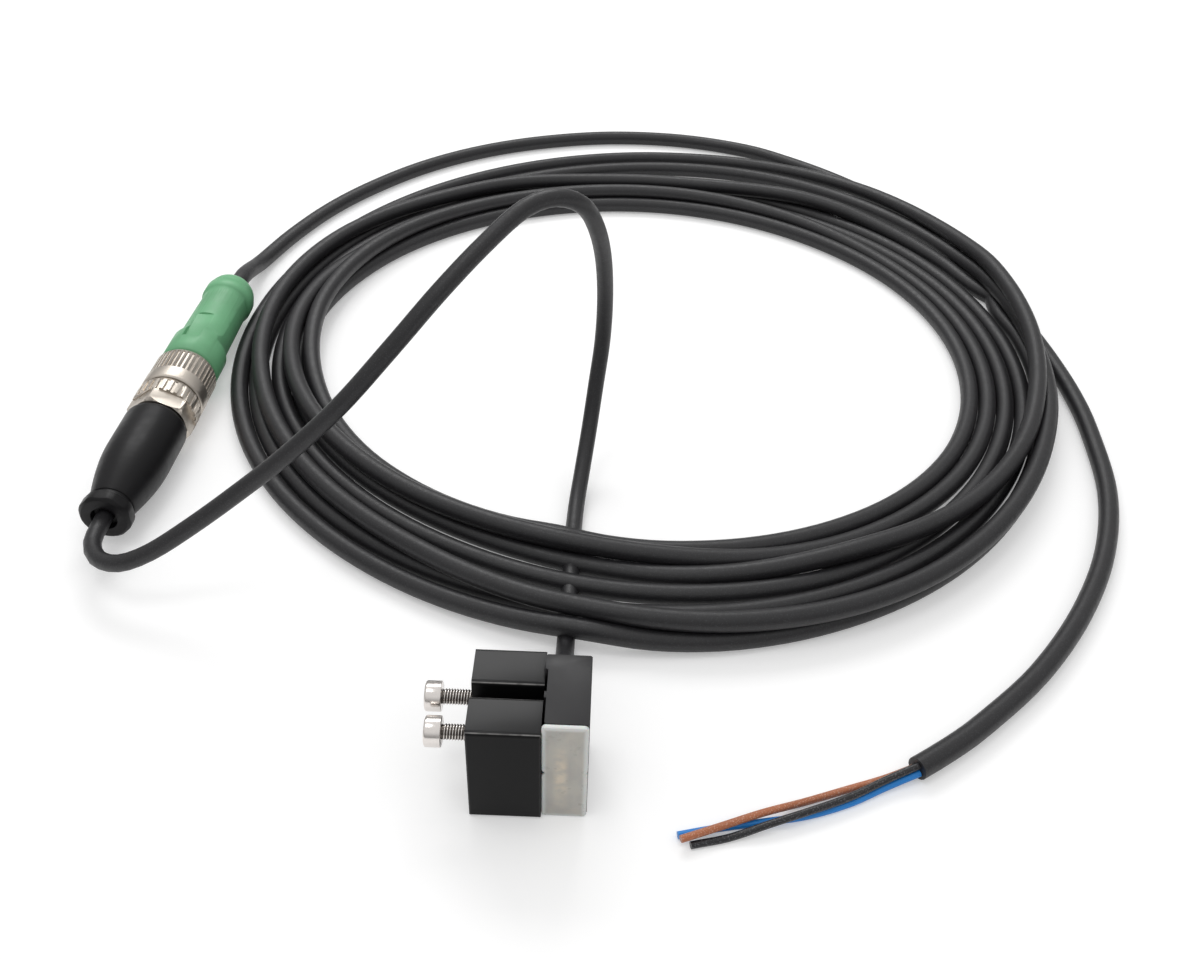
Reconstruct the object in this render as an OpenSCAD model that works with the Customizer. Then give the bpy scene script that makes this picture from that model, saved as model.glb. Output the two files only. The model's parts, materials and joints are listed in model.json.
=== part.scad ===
// Capacitive level sensor with a clamp block on two screws, a stiff cable, a mated pair
// of M12 round connectors and a coiled extension cable with bare conductors.
// Millimetres, +Z up. The origin is under the middle of the head, on the surface that
// it stands on. The screws are at -X, the sensor at +X, and its cable leaves at +Y.

/* [Clamp block] */
// Width along the screws
block_w = 12.7; // [11:0.1:16]
// Depth from front to rear
block_d = 19.2; // [17.6:0.2:24]
// Height
block_h = 23; // [21:0.5:24]
// Width of the strap slot across the top
slot_w = 2.9; // [2:0.1:3.4]
// Depth of the strap slot
slot_depth = 5; // [3:0.5:6]
// Rounding of the edges that run along the screws
block_round = 0.8; // [0.3:0.1:1.2]

/* [Clamp screws] */
// Thread diameter
screw_d = 3; // [2.5:0.5:3]
// Length under the head
screw_len = 20; // [20:1:22]
// Head diameter
head_d = 5.5; // [4.5:0.5:5.5]
// Head height
head_h = 3; // [2.5:0.5:3]
// Distance between the two screws
screw_pitch = 7.8; // [7.5:0.1:8]
// Height of the screws
screw_z = 16.1; // [15:0.1:16.5]
// Gap under the rear screw's head
standoff_rear = 5.6; // [5.2:0.1:5.8]
// Gap under the front screw's head
standoff_front = 4.7; // [4.2:0.1:5.2]

/* [Sensor] */
// Thickness across the rear shoulder
sensor_t = 8.1; // [8:0.1:9]
// Height
sensor_h = 24.5; // [24:0.5:26]
// How far the front part of the inner side is set back
relief = 0.5; // [0.3:0.1:0.6]
// Where the rear shoulder begins
shoulder_y = 3.8; // [3.6:0.1:4.2]
// Rear face
sensor_rear = 7.3; // [7:0.1:7.6]
// Front face, which is the window's
sensor_front = -8.9; // [-9.2:0.1:-8.7]
// Thickness of the moulded walls
wall = 1.2; // [1:0.1:1.3]
// Thickness of the window
window_t = 0.9; // [0.7:0.1:1]

/* [Cables] */
// Diameter of the sensor's own cable
cable_d = 3.7; // [3.4:0.1:3.8]
// Diameter of the extension cable
ext_d = 4.5; // [4:0.1:4.6]
// Diameter of one insulated conductor
wire_d = 1.4; // [1.1:0.1:1.4]

/* [Connector pair] */
// Largest diameter of the coupling rings
ring_d = 15.5; // [15:0.1:16]
// Length of the black moulding
plug_len = 34; // [32:0.5:36]
// Visible length of the plug's coupling ring
ring_len = 9; // [8.5:0.5:10]
// Length of the socket's coupling nut
nut_len = 12.2; // [12:0.1:13]
// Length of the green grip
grip_len = 41; // [38:0.5:44]
// Ribs on the plug's ring
ring_ribs = 28; // [20:1:32]
// Grooves on the socket's nut
nut_grooves = 40; // [30:1:48]
// Contacts in each half
contacts = 4; // [3:1:4]

/* [Coil] */
// Inner radius of the coil
coil_in_r = 81.5; // [79:0.5:83]
// Outer radius of the coil
coil_out_r = 108.5; // [107:0.5:110]
// Height of the coil, which is two layers of cable
coil_h = 9; // [8:0.1:10]

/* [Hidden] */
$fn = 48;
eps = 0.01;

// Head, across the screws: the heads end at -head_half and the sensor at +head_half.
head_half = (head_h + standoff_rear + block_w + sensor_t) / 2;
block_x = -head_half + head_h + standoff_rear;
block_right = block_x + block_w;
screw_ys = [screw_pitch / 2, -screw_pitch / 2];
standoffs = [standoff_rear, standoff_front];
screw_hole_d = screw_d + 0.4;
socket_af = 2.5;
socket_depth = 1.5;
edge_chamfer = 0.3;

// Sensor, from its inner side to its sensing side.
inner_x = block_right + relief;
outer_x = head_half;
mouth_y = sensor_front + window_t;
cavity_rear = 5;
insert_d = 4.2;
insert_len = 5.2;
boss_d = 5.4;
relief_len = 6.9;
mark_w = 0.9;
grommet_d = 5;
grommet_x = 9.1;
grommet_z = 11.9;
grommet_neck_d = grommet_d - 0.8;
grommet_end = sensor_rear + 1.9;
board_t = 0.8;

// Coupled connectors, as distances along their axis from the cable end of the plug.
axis_start = [-91.8, 56.2, ring_d / 2];
axis_turn = 1.8;
hub_r = 5.5;
hub_back = plug_len - 8;
carrier_step = plug_len + 4;
carrier_face = plug_len + 7;
ring_end = plug_len + ring_len;
shank_r = 6;
shank_end = ring_end + 6.2;
nut_start = ring_end + 0.4;
nut_end = nut_start + nut_len;
flange_start = shank_end + 1.8;
flange_end = flange_start + 2.6;
nose_r = 4.2;
root_r = 4.6;
grip_start = nut_end + 0.4;
grip_end = grip_start + grip_len;
root_end = grip_start + 6;
contact_circle = 2.5;
pin_r = 0.5;
contact_r = 0.85;
collar_recess = 2;

// Coil
coil_at = [26.5, 139.5];

// Routes of the cables, as points on their centrelines.
sensor_route = [
    [9.1, 7, 11.9], [9.1, 11, 11.9], [9.1, 16, 10.8], [9.1, 21, 7.4], [9.1, 26, 3.8],
    [9.1, 32, 1.9], [9.2, 46, 1.9], [9.2, 62, 1.9], [9.5, 73, 2.2], [10.4, 82, 5],
    [11.6, 90, 11], [12.8, 95.6, 20], [14, 98.8, 31], [14.2, 98, 43], [13.5, 94, 55],
    [11.8, 88.6, 65], [9, 84, 72], [4, 80.8, 75], [-2, 77.6, 74], [-9, 70.6, 70],
    [-17, 62.2, 64], [-26, 55.6, 55], [-36, 50.4, 44.6], [-47, 47.4, 34.4],
    [-57, 45.8, 26], [-67, 43.4, 18.6], [-76, 41.2, 12.8], [-83, 40.6, 9.8],
    [-88.6, 43.4, 8.4], [-91.6, 48.6, 7.8], [-91.9, 54, 7.75], [-91.8, 58.2, 7.75]
];
lead_route = [
    [-88.85, 150.1, 7.75], [-88.7, 156, 7.75], [-88.6, 161, 7.2], [-88.6, 167, 5.6],
    [-87.8, 177, 2.9], [-82.6, 195, 2.3], [-74.6, 213, 2.3], [-63.6, 230, 2.3], [-49, 246.6, 2.3],
    [-31, 260.4, 2.3], [-10, 270.4, 2.3], [14, 276.4, 2.3], [39, 276.2, 2.3],
    [63, 269.6, 2.3], [82.5, 257, 2.3], [98, 241.5, 2.3], [110.3, 223.3, 2.3],
    [118.5, 204, 2.3], [123, 190.5, 2.3]
];
tail_route = [
    [132.2, 167, 2.3], [136, 149.5, 2.3], [138, 130, 2.3], [138.2, 110, 2.3],
    [135.2, 86, 2.3], [128.2, 64.4, 2.3], [117.4, 44.8, 2.3], [104, 27.4, 2.3],
    [90, 14, 2.3], [82, 7.6, 2.3], [75.2, 2.9, 2.3]
];
black_route = [
    [75.2, 2.9, 3.1], [69, 0, 2.4], [62, -3.8, 2.1], [54, -7.3, 2.1],
    [47, -10, 1.8], [40, -12.3, 0.7], [33, -14.2, 0.7]
];
blue_route = [
    [75.6, 2.3, 1.8], [69, -0.6, 1], [62, -4.2, 0.7], [54, -7.2, 0.7],
    [46, -8.9, 0.7], [38, -10.5, 0.7], [30.8, -12.3, 0.7]
];
brown_route = [
    [74.8, 3.5, 1.8], [69, 1.2, 1.1], [62, -1.2, 0.7], [54, -4.3, 0.8],
    [46, -7.9, 2.1], [38, -11.2, 2.1], [31.2, -14, 2.1]
];

// Colours
anodised = [0.07, 0.07, 0.08];
stainless = [0.72, 0.70, 0.67];
dark_plastic = [0.17, 0.17, 0.18];
milky = [0.78, 0.78, 0.73];
nickel = [0.71, 0.66, 0.60];
gold = [0.83, 0.66, 0.30];
board_green = [0.20, 0.36, 0.22];
copper = [0.72, 0.43, 0.25];
brass = [0.74, 0.60, 0.32];
jacket = [0.19, 0.19, 0.20];
grip_green = [0.29, 0.62, 0.37];
insulator = [0.10, 0.10, 0.11];

function unit(v) = v / norm(v);
function tangent(route, i) =
    unit(route[min(i + 1, len(route) - 1)] - route[max(i - 1, 0)]);
function ring_at(p, t, r, n, ref) =
    let(side = unit(cross(t, ref)), up = cross(side, t))
    [for (k = [0 : n - 1])
        p + r * (cos(360 * k / n) * side + sin(360 * k / n) * up)];

// A solid round cord along a route. ref is a direction that the route never takes.
module tube(route, d, n = 8, ref = [0, 0, 1]) {
    last = len(route) - 1;
    points = [for (i = [0 : last]) each ring_at(route[i], tangent(route, i), d / 2, n, ref)];
    sides = [for (i = [0 : last - 1], k = [0 : n - 1])
        [i * n + k, i * n + (k + 1) % n, (i + 1) * n + (k + 1) % n, (i + 1) * n + k]];
    start = [for (k = [n - 1 : -1 : 0]) k];
    end = [for (k = [0 : n - 1]) last * n + k];
    polyhedron(points, concat(sides, [start], [end]), convexity = 6);
}

// A rectangle from one corner to the other, with round corners.
module round_rect(from, to, r) {
    translate([from.x + r, from.y])
        square([to.x - from.x - 2 * r, to.y - from.y]);
    translate([from.x, from.y + r])
        square([to.x - from.x, to.y - from.y - 2 * r]);
    for (x = [from.x + r, to.x - r], y = [from.y + r, to.y - r])
        translate([x, y]) circle(r);
}

// A rectangle from one corner to the other, with chamfered corners.
module chamfered_rect(from, to, c) {
    polygon([
        [from.x + c, from.y], [to.x - c, from.y], [to.x, from.y + c], [to.x, to.y - c],
        [to.x - c, to.y], [from.x + c, to.y], [from.x, to.y - c], [from.x, from.y + c]
    ]);
}

// Draws a profile given in Y and Z, and runs it from x for a length.
module along_x(x, length) {
    translate([x, 0, 0]) rotate([90, 0, 90]) linear_extrude(length) children();
}

// Draws a profile given in X and Z, and runs it from y for a length.
module along_y(y, length) {
    translate([0, y + length, 0]) rotate([90, 0, 0]) linear_extrude(length) children();
}

module rod_x(x, y, z, d, length) {
    translate([x, y, z]) rotate([0, 90, 0]) cylinder(d = d, h = length);
}

module block_between(from, to) {
    translate(from) cube(to - from);
}

module clamp_block() {
    color(anodised) difference() {
        intersection() {
            along_x(block_x, block_w)
                round_rect([-block_d / 2, 0], [block_d / 2, block_h], block_round);
            linear_extrude(block_h) chamfered_rect(
                [block_x, -block_d / 2], [block_right, block_d / 2], edge_chamfer);
        }
        strap_slot();
        for (y = screw_ys)
            rod_x(block_x - 1, y, screw_z, screw_hole_d, block_w + 2);
    }
}

// The slot has a flat floor, and its top edges are rounded like the block's own.
module strap_slot() {
    floor_z = block_h - slot_depth;
    round_z = block_h - block_round;
    along_x(block_x - 1, block_w + 2) {
        translate([-slot_w / 2, floor_z]) square([slot_w, slot_depth + 1]);
        difference() {
            translate([-slot_w / 2 - block_round, round_z])
                square([slot_w + 2 * block_round, block_round + 1]);
            for (side = [-1, 1])
                translate([side * (slot_w / 2 + block_round), round_z])
                    circle(block_round);
        }
    }
}

module clamp_screws() {
    for (i = [0, 1])
        translate([block_x - standoffs[i], screw_ys[i], screw_z]) clamp_screw();
}

// A socket-head cap screw, with the underside of its head at the origin.
module clamp_screw() {
    c = 0.3;
    color(stainless) rotate([0, 90, 0]) difference() {
        union() {
            translate([0, 0, -head_h]) cylinder(d1 = head_d - 2 * c, d2 = head_d, h = c);
            translate([0, 0, c - head_h]) cylinder(d = head_d, h = head_h - c);
            cylinder(d = screw_d, h = screw_len - c);
            translate([0, 0, screw_len - c])
                cylinder(d1 = screw_d, d2 = screw_d - 2 * c, h = c);
        }
        translate([0, 0, -head_h - 1])
            cylinder(r = socket_af / 2 / cos(30), h = socket_depth + 1, $fn = 6);
    }
}

// Outer form of the moulded body: the rear shoulder bears on the block, and the front
// part stands off it.
module sensor_outline() {
    linear_extrude(sensor_h) chamfered_rect(
        [inner_x, mouth_y], [outer_x, sensor_rear], edge_chamfer);
    linear_extrude(sensor_h) chamfered_rect(
        [block_right, shoulder_y], [outer_x, sensor_rear], edge_chamfer);
}

module sensor_cavity() {
    block_between([inner_x + wall, mouth_y - 1, wall + 0.2],
        [outer_x - wall, cavity_rear, sensor_h - wall - 0.2]);
}

module sensor_housing() {
    rib_w = 1.4;
    groove_w = 0.5;
    color(dark_plastic) {
        difference() {
            union() {
                difference() {
                    sensor_outline();
                    sensor_cavity();
                }
                for (y = screw_ys)
                    rod_x(inner_x + wall / 2, y, screw_z, boss_d, outer_x - inner_x - wall);
            }
            for (y = screw_ys) {
                rod_x(inner_x, y, screw_z, insert_d, insert_len);
                rod_x(inner_x, y, screw_z, screw_d + 0.2, relief_len);
                rod_x(block_right - 1, y, screw_z, screw_hole_d, relief + 1);
            }
            translate([grommet_x, cavity_rear - 1, grommet_z]) rotate([-90, 0, 0])
                cylinder(d = grommet_neck_d, h = 4);
            centre_marks(inner_x);
            translate([outer_x, shoulder_y, -1]) rotate([0, 0, 45])
                translate([-groove_w / 2, -groove_w / 2, 0])
                    cube([groove_w, groove_w, sensor_h + 2]);
        }
        block_between([block_right, -rib_w / 2, 2], [inner_x, rib_w / 2, 22.4]);
    }
}

// Small V notches on both sides of the front, at the middle of the sensing field.
module centre_marks(left) {
    for (x = [left, outer_x])
        translate([x, sensor_front - 1, sensor_h / 2]) rotate([-90, 0, 0])
            rotate([0, 0, 45])
                translate([-mark_w / 2, -mark_w / 2, 0]) cube([mark_w, mark_w, 3]);
}

// The window closes the front of the body and laps over to the block, and its skirt plugs
// into the mouth.
module front_window() {
    gap = 0.1;
    left = block_right + gap / 2;
    skirt = 0.6;
    in_x = inner_x + wall;
    in_z = wall + 0.2;
    color(milky) difference() {
        union() {
            along_y(sensor_front, window_t)
                round_rect([left, gap], [outer_x - gap, sensor_h - gap], 0.8);
            block_between([in_x, mouth_y - eps, in_z],
                [outer_x - wall, mouth_y + 1, sensor_h - in_z]);
        }
        block_between([in_x + skirt, mouth_y, in_z + skirt],
            [outer_x - wall - skirt, mouth_y + 2, sensor_h - in_z - skirt]);
        centre_marks(left);
    }
}

// The board behind the window, and the two lamps on it.
module indicator_board() {
    color(board_green)
        block_between([9, mouth_y + 0.45, 2.4], [12.6, mouth_y + 1.1, sensor_h - 2.4]);
}

module status_leds() {
    for (z = [9.2, 14.6])
        color([0.95, 0.82, 0.55])
            block_between([9.6, mouth_y + 0.05, z], [11.2, mouth_y + 0.45, z + 2.6]);
}

module circuit_board() {
    color(board_green)
        block_between([10.4, mouth_y + 1.1, 2], [10.4 + board_t, cavity_rear - 0.2, 12.4]);
}

// Integrated circuits on both sides of the main board.
module board_chips() {
    color([0.12, 0.12, 0.13]) {
        block_between([9.5, -4.6, 4.2], [10.4, -0.6, 8.2]);
        block_between([9.7, 1, 4.6], [10.4, 3.2, 9.8]);
        block_between([10.4 + board_t, -3.4, 3.4], [12.1, 1.4, 7.4]);
    }
}

// The sensing plate lies on the inside of the sensing wall, and the bosses pass it.
module sensing_electrode() {
    plate = outer_x - wall;
    color(copper) difference() {
        block_between([plate - 0.2, -5.6, 4], [plate, 3.6, sensor_h - 4]);
        for (y = screw_ys)
            rod_x(plate - 1, y, screw_z, boss_d + 0.6, 2);
    }
}

// The guard frame runs round the sensing plate in the same plane.
module guard_electrode() {
    plate = outer_x - wall;
    color(copper) difference() {
        block_between([plate - 0.2, -6.8, 2], [plate, 4.8, sensor_h - 2]);
        block_between([plate - 1, -6.1, 3.4], [plate + 1, 4.1, sensor_h - 3.4]);
        for (y = screw_ys)
            rod_x(plate - 1, y, screw_z, boss_d + 0.6, 2);
    }
}

module threaded_inserts() {
    for (y = screw_ys)
        color(brass) difference() {
            rod_x(inner_x, y, screw_z, insert_d, insert_len);
            rod_x(inner_x - 1, y, screw_z, screw_d + 0.04, insert_len + 2);
        }
}

// The grommet closes the rear wall round the cable.
module cable_grommet() {
    color(insulator)
        translate([grommet_x, 0, grommet_z]) rotate([-90, 0, 0])
            difference() {
                union() {
                    translate([0, 0, cavity_rear])
                        cylinder(d = grommet_neck_d, h = sensor_rear - cavity_rear);
                    translate([0, 0, sensor_rear])
                        cylinder(d1 = grommet_d, d2 = grommet_d - 0.5,
                            h = grommet_end - sensor_rear);
                }
                translate([0, 0, sensor_route[0].y])
                    cylinder(d = cable_d, h = 10);
            }
}

// Places what is drawn along +Z from s on the axis of the connectors.
module on_axis(s = 0) {
    translate(axis_start) rotate([0, 0, -axis_turn]) rotate([-90, 0, 0])
        translate([0, 0, s]) children();
}

module at_contacts() {
    for (k = [0 : contacts - 1])
        rotate([0, 0, 45 + 360 * k / contacts]) translate([contact_circle, 0, 0])
            children();
}

// Black moulding: an eight-sided collar round the cable, a neck, and a barrel that swells
// to the ring.
module plug_body() {
    collar_r = 5.5;
    collar_len = 3.4;
    neck_r = 4.9;
    barrel_r = 7.35;
    swell_from = 4.6;
    swell_to = 21;
    steps = 9;
    swell = [for (i = [0 : steps])
        let(t = i / steps)
        [neck_r + (barrel_r - neck_r) * sin(90 * t), swell_from + (swell_to - swell_from) * t]];
    rim_r = 2.4;
    rim = [for (a = [15 : 15 : 60])
        [barrel_r - rim_r * (1 - cos(a)), plug_len - rim_r * (sin(60) - sin(a))]];
    color(insulator) on_axis() difference() {
        union() {
            rotate_extrude() polygon(concat(
                [[0, collar_len - 1], [neck_r - 0.2, collar_len - 1], [neck_r - 0.2, swell_from]],
                swell, [[barrel_r, plug_len - rim_r * sin(60)]], rim, [[0, plug_len]]));
            intersection() {
                rotate([0, 0, 22.5]) cylinder(r = collar_r / cos(22.5), h = collar_len, $fn = 8);
                rotate_extrude() polygon([
                    [0, 0], [collar_r - 0.5, 0], [collar_r + 0.2, 0.7],
                    [collar_r + 0.2, collar_len - 0.5], [collar_r - 0.3, collar_len],
                    [0, collar_len]]);
            }
        }
        translate([0, 0, hub_back]) cylinder(r = hub_r, h = plug_len);
        translate([0, 0, -1]) cylinder(r = 2.9, h = collar_recess + 1);
    }
}

// Coupling ring of the plug: a hexagon, a ribbed band, a lip and the threaded shank.
module plug_ring() {
    r = ring_d / 2;
    hex_end = plug_len + 4.2;
    rib_end = ring_end - 1;
    rib_h = 0.45;
    color(nickel) on_axis() difference() {
        union() {
            intersection() {
                translate([0, 0, plug_len]) rotate([0, 0, 25])
                    cylinder(r = r, h = hex_end - plug_len, $fn = 6);
                translate([0, 0, plug_len]) cylinder(r1 = r - 0.9, r2 = r + 3.3, h = 4.2);
            }
            translate([0, 0, hex_end]) linear_extrude(rib_end - hex_end)
                ribbed_circle(r, ring_ribs, rib_h, 0.8);
            translate([0, 0, rib_end]) cylinder(r = r - rib_h, h = ring_end - rib_end);
            translate([0, 0, ring_end]) cylinder(r = shank_r, h = shank_end - ring_end);
        }
        translate([0, 0, plug_len - 1]) cylinder(r = hub_r + 0.1, h = 5);
        translate([0, 0, plug_len - 1]) cylinder(r = hub_r - 0.45, h = 30);
    }
}

// A circle whose rim has grooves cut into it.
module ribbed_circle(r, count, depth, width) {
    difference() {
        circle(r, $fn = 96);
        for (k = [0 : count - 1])
            rotate(360 * k / count) translate([r - depth, -width / 2])
                square([depth + 1, width]);
    }
}

module plug_insert() {
    color(insulator) on_axis() difference() {
        union() {
            translate([0, 0, hub_back]) cylinder(r = hub_r, h = carrier_step - hub_back);
            translate([0, 0, carrier_step])
                cylinder(r = hub_r - 0.5, h = carrier_face - carrier_step);
        }
        at_contacts() translate([0, 0, hub_back + 2]) cylinder(r = pin_r, h = 20);
    }
}

module plug_pins() {
    pin_end = carrier_face + 8;
    color(gold) on_axis() at_contacts() {
        translate([0, 0, hub_back + 2]) cylinder(r = pin_r, h = pin_end - hub_back - 2.3);
        translate([0, 0, pin_end - 0.3]) cylinder(r1 = pin_r, r2 = pin_r - 0.25, h = 0.3);
    }
}

// Coupling nut of the socket: a smooth band, a grooved band and a rear shoulder that
// bears on the flange of the contact carrier.
module socket_nut() {
    r = ring_d / 2 - 0.05;
    band_end = nut_start + 4.2;
    groove_end = nut_end - 1;
    color(nickel) on_axis() difference() {
        union() {
            translate([0, 0, nut_start]) cylinder(r1 = r - 0.4, r2 = r, h = 0.4);
            translate([0, 0, nut_start + 0.4]) cylinder(r = r, h = band_end - nut_start - 0.4);
            translate([0, 0, band_end]) linear_extrude(groove_end - band_end)
                ribbed_circle(r - 0.1, nut_grooves, 0.3, 0.55);
            translate([0, 0, groove_end])
                cylinder(r1 = r - 0.1, r2 = r - 0.6, h = nut_end - groove_end);
        }
        translate([0, 0, nut_start - 1])
            cylinder(r = shank_r + 0.04, h = flange_start - nut_start + 1);
        translate([0, 0, nut_start]) cylinder(r = nose_r + 1.4, h = flange_end - nut_start);
        translate([0, 0, nut_start]) cylinder(r = root_r + 0.15, h = 30);
    }
}

module socket_insert() {
    color(insulator) on_axis() difference() {
        union() {
            translate([0, 0, carrier_face]) cylinder(r = nose_r, h = flange_start - carrier_face);
            translate([0, 0, flange_start])
                cylinder(r = nose_r + 1.3, h = flange_end - flange_start);
            translate([0, 0, flange_end]) cylinder(r = root_r, h = root_end - flange_end);
        }
        at_contacts() translate([0, 0, carrier_face - 1]) cylinder(r = contact_r, h = 21);
    }
}

module socket_contacts() {
    color(gold) on_axis() at_contacts() difference() {
        translate([0, 0, carrier_face + 1]) cylinder(r = contact_r, h = 19);
        translate([0, 0, carrier_face]) cylinder(r = pin_r + 0.02, h = 9);
    }
}

module socket_seal() {
    seal_r = (flange_start - shank_end) / 2;
    color([0.13, 0.13, 0.13]) on_axis((flange_start + shank_end) / 2)
        rotate_extrude() translate([nose_r + seal_r, 0]) circle(seal_r);
}

// Green moulded grip: a wide shoulder behind the nut, a waist with flat sides and two
// sunk pads for the fingers, and a collar that ends in a stepped dome round the cable.
module socket_grip() {
    wide_r = 7.2;
    waist_r = 6.3;
    lip_r = 6.6;
    step = 0.35;
    shoulder_end = grip_start + 12.6;
    lip_start = grip_end - 9;
    dome_start = grip_end - 4.4;
    dome = [for (a = [0 : 15 : 75])
        [lip_r - step - 3.3 + 3.3 * cos(a), dome_start + 4.4 * sin(a)]];
    pad_start = grip_start + 6.4;
    pad_len = 12;
    flat_start = shoulder_end - 4;
    color(grip_green) on_axis() difference() {
        rotate_extrude() polygon(concat(
            [[0, grip_start], [wide_r - 0.7, grip_start], [wide_r, grip_start + 0.6],
                [wide_r, shoulder_end - 2.6], [waist_r, shoulder_end],
                [waist_r - 0.3, lip_start], [lip_r, lip_start + 0.8],
                [lip_r, dome_start - 0.7], [lip_r - step, dome_start - 0.4]],
            dome, [[3, grip_end], [0, grip_end]]));
        for (side = [0, 180])
            rotate([0, 0, side]) {
                translate([5.6, -10, flat_start]) cube([5, 20, lip_start - flat_start]);
                translate([-2.2, 5.8, pad_start]) cube([4.4, 5, pad_len]);
            }
        translate([0, 0, grip_start - 1]) cylinder(r = root_r, h = root_end - grip_start + 1);
        translate([0, 0, grip_end - 3]) cylinder(d = ext_d + 0.1, h = 4);
    }
}

// The coil's outer form: two layers of cable, with a way for the sensor's cable under it.
module coil_cable() {
    color(jacket) difference() {
        translate([coil_at.x, coil_at.y, 0]) rotate_extrude($fn = 96)
            round_rect([coil_in_r, 0], [coil_out_r, coil_h], ext_d / 2);
        translate([sensor_route[6].x - 2.1, 20, -1]) cube([4.2, 60, 5]);
    }
}

module sensor_cable() {
    color(jacket) tube(sensor_route, cable_d, 8, [0.6, -0.6, 0.5]);
}

module lead_cable() {
    color(jacket) tube(lead_route, ext_d);
}

module tail_cable() {
    color(jacket) tube(tail_route, ext_d);
}

module wire_brown() {
    color([0.60, 0.35, 0.26]) tube(brown_route, wire_d);
}

module wire_black() {
    color([0.09, 0.09, 0.10]) tube(black_route, wire_d);
}

module wire_blue() {
    color([0.12, 0.42, 0.71]) tube(blue_route, wire_d);
}

clamp_block();
clamp_screws();
sensor_housing();
front_window();
indicator_board();
status_leds();
circuit_board();
board_chips();
sensing_electrode();
guard_electrode();
threaded_inserts();
cable_grommet();
sensor_cable();
plug_body();
plug_ring();
plug_insert();
plug_pins();
socket_nut();
socket_insert();
socket_contacts();
socket_seal();
socket_grip();
lead_cable();
coil_cable();
tail_cable();
wire_brown();
wire_black();
wire_blue();
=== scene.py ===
import json
import math

import bmesh
import bpy
import numpy as np
from mathutils import Matrix, Vector


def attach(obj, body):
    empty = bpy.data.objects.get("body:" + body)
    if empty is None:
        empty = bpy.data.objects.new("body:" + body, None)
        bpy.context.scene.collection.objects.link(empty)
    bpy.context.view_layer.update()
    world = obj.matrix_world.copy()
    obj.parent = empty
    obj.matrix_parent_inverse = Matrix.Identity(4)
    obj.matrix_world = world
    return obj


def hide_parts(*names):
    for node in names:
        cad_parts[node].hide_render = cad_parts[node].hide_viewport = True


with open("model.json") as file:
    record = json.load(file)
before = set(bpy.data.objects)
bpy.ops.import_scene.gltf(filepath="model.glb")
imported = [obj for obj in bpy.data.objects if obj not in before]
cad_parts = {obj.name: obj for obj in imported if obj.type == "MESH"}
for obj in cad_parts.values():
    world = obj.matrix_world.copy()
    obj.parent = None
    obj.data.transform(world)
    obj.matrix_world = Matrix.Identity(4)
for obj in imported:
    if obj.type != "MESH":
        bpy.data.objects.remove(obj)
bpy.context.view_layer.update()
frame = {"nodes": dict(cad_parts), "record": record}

node_objects = frame["nodes"]
MM = 0.001


# Sizes, in millimetres, as in the part's source

BLOCK_W = 12.7
BLOCK_D = 19.2
BLOCK_H = 23
SLOT_W = 2.9

SCREW_D = 3
SCREW_LEN = 20
HEAD_D = 5.5
HEAD_H = 3
SOCKET_FLATS = 2.5
SOCKET_DEPTH = 1.5
SCREWS_APART = 7.8
SCREW_Z = 16.1
STANDOFFS = (5.6, 4.7)

SENSOR_T = 8.1
SENSOR_H = 24.5
WINDOW_GAP = 0.1

CABLE_D = 3.7
EXT_D = 4.5
WIRE_D = 1.4

# The screws' thread, which the part's source leaves to this script
THREAD_PITCH = 0.5
CORE_D = 2.45

HALF_LENGTH = (HEAD_H + STANDOFFS[0] + BLOCK_W + SENSOR_T) / 2
BLOCK_LEFT = HEAD_H + STANDOFFS[0] - HALF_LENGTH
SCREW_PLACES = [(BLOCK_LEFT - standoff, y, SCREW_Z)
                for standoff, y in zip(STANDOFFS, (SCREWS_APART / 2, -SCREWS_APART / 2))]
WINDOW_X = (BLOCK_LEFT + BLOCK_W + WINDOW_GAP / 2, HALF_LENGTH - WINDOW_GAP)
WINDOW_TOP = SENSOR_H - WINDOW_GAP


# The photograph's view

CAMERA_PLACE = (14.7, -135.3, 182)
CAMERA_DOWN = 39.5
CAMERA_ROLL = 2.3


def stand_the_camera():
    """A 36 mm lens above the front of the head, looking along +Y and down."""
    lens = bpy.data.cameras.new("camera")
    lens.sensor_fit = "HORIZONTAL"
    lens.sensor_width = 36
    lens.lens = 36
    lens.clip_start = 5 * MM
    camera = bpy.data.objects.new("camera", lens)
    bpy.context.scene.collection.objects.link(camera)
    camera.matrix_world = (
        Matrix.Translation(Vector(CAMERA_PLACE) * MM)
        @ Matrix.Rotation(math.radians(90 - CAMERA_DOWN), 4, "X")
        @ Matrix.Rotation(math.radians(CAMERA_ROLL), 4, "Z"))
    bpy.context.scene.camera = camera


stand_the_camera()


# Nodes, for finishes and for the screws' thread

def feed(tree, socket, value):
    """Sets a socket to a number or a colour, or joins another node's output to it."""
    if isinstance(value, bpy.types.NodeSocket):
        tree.links.new(value, socket)
    elif socket.type == "RGBA":
        socket.default_value = (*value, 1)
    else:
        socket.default_value = value


def add(tree, kind, **inputs):
    """A new node, each of its inputs a number, a colour or another node's output."""
    node = tree.nodes.new(kind)
    for name, value in inputs.items():
        feed(tree, node.inputs[name.replace("_", " ")], value)
    return node


def combine(tree, operation, first, second=0):
    """Reckons with two values, each a number or another node's output."""
    node = tree.nodes.new("ShaderNodeMath")
    node.operation = operation
    for socket, value in zip(node.inputs, (first, second)):
        feed(tree, socket, value)
    return node.outputs["Value"]


def blend(tree, strength, below, above):
    """A colour between two others, each a colour or another node's output."""
    mix = tree.nodes.new("ShaderNodeMix")
    mix.data_type = "RGBA"
    for name, value in (("Factor", strength), ("A", below), ("B", above)):
        feed(tree, mix.inputs[name], value)
    return mix.outputs["Result"]


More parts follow.
